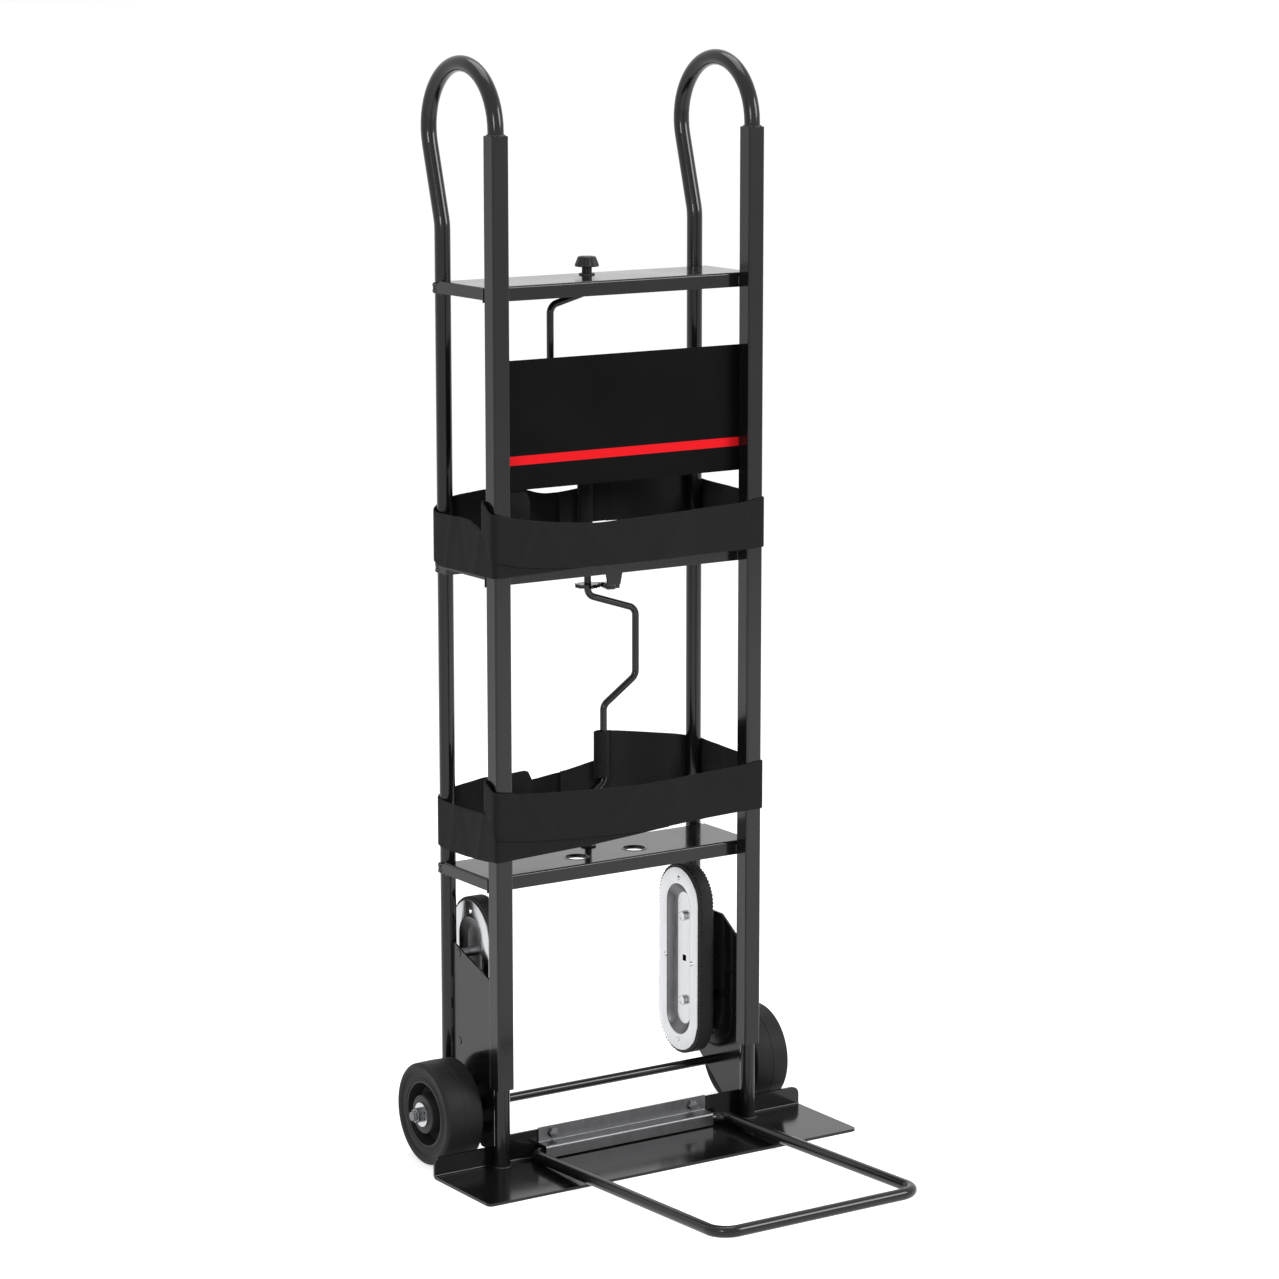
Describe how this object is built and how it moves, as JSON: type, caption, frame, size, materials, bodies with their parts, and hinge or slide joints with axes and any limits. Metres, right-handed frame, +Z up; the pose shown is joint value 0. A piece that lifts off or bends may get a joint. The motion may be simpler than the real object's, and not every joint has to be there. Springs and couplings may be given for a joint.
{
  "type": "appliance hand truck",
  "caption": "Tall appliance hand truck: tube frame with handle loops, shelves, winder with straps, stair climbers, wheels, toe plate and folding nose loop.",
  "frame": {"origin": "on the floor, midway between the front rails and under their axes", "axes": "+X to the right seen from the front, +Y to the rear, +Z up"},
  "size_m": [0.614, 0.6524, 1.5239],
  "materials": {
    "black_enamel": "gloss enamel",
    "panel_enamel": "satin enamel",
    "zinc_plate": "bright zinc plate",
    "tyre_rubber": "matte",
    "hub_plastic": "moulded",
    "belt_rubber": "matte",
    "track_plastic": "moulded",
    "knob_plastic": "moulded",
    "webbing": "woven"
  },
  "bodies": {
    "frame": {"axle": "black_enamel", "axle_nuts": "zinc_plate", "axle_spacers": "black_enamel", "axle_washers": "zinc_plate", "bracket_rivets": "black_enamel", "climber_belt_left": "belt_rubber", "climber_belt_right": "belt_rubber", "climber_bolts": "zinc_plate", "climber_inner_plate_left": "zinc_plate", "climber_inner_plate_right": "zinc_plate", "climber_nuts": "black_enamel", "climber_outer_plate_left": "zinc_plate", "climber_outer_plate_right": "zinc_plate", "climber_rivets": "zinc_plate", "climber_spacers": "zinc_plate", "climber_track_left": "track_plastic", "climber_track_right": "track_plastic", "front_rail_left": "black_enamel", "front_rail_right": "black_enamel", "header_panel": "panel_enamel", "hinge_bolts": "zinc_plate", "hinge_nuts": "zinc_plate", "lower_shelf": "black_enamel", "lower_strap": "webbing", "middle_shelf": "black_enamel", "nose_hinge_bracket": "zinc_plate", "panel_screws": "zinc_plate", "pawl_bracket": "black_enamel", "pawl_pivot": "zinc_plate", "shelf_rivets": "black_enamel", "side_plate_left": "black_enamel", "side_plate_right": "black_enamel", "side_tube_left": "black_enamel", "side_tube_right": "black_enamel", "toe_plate": "black_enamel", "top_shelf": "black_enamel", "upper_strap": "webbing", "winder_bushes": "track_plastic"},
    "wheel_left": {"tyre_left": "tyre_rubber", "hub_left": "hub_plastic", "wheel_bush_left": "zinc_plate"},
    "wheel_right": {"tyre_right": "tyre_rubber", "hub_right": "hub_plastic", "wheel_bush_right": "zinc_plate"},
    "nose": {"nose_loop": "black_enamel"},
    "winder": {"winder_shaft": "black_enamel", "winder_knob": "knob_plastic", "ratchet_wheel": "black_enamel", "winder_clip": "zinc_plate", "upper_strap_end": "webbing", "lower_strap_end": "webbing"},
    "pawl": {"pawl": "black_enamel"}
  },
  "joints": [
    {"name": "wheel_left_spin", "type": "hinge", "parent": "frame", "child": "wheel_left", "pos_m": [-0.258, 0.08, 0.072], "axis": [1, 0, 0], "continuous": true},
    {"name": "wheel_right_spin", "type": "hinge", "parent": "frame", "child": "wheel_right", "pos_m": [0.258, 0.08, 0.072], "axis": [1, 0, 0], "continuous": true},
    {"name": "nose_fold", "type": "hinge", "parent": "frame", "child": "nose", "pos_m": [0, 0.0017, 0.0123], "axis": [-1, 0, 0], "range_deg": [-2, 88]},
    {"name": "winder_turn", "type": "hinge", "parent": "frame", "child": "winder", "pos_m": [0, 0.1, 0.8], "axis": [0, 0, 1], "continuous": true},
    {"name": "pawl_swing", "type": "hinge", "parent": "frame", "child": "pawl", "pos_m": [0.021, 0.074, 0.786], "axis": [0, 0, -1], "range_deg": [0, 20], "stiffness_Nm_per_rad": 0.05, "springref_deg": -17.19}
  ]
}
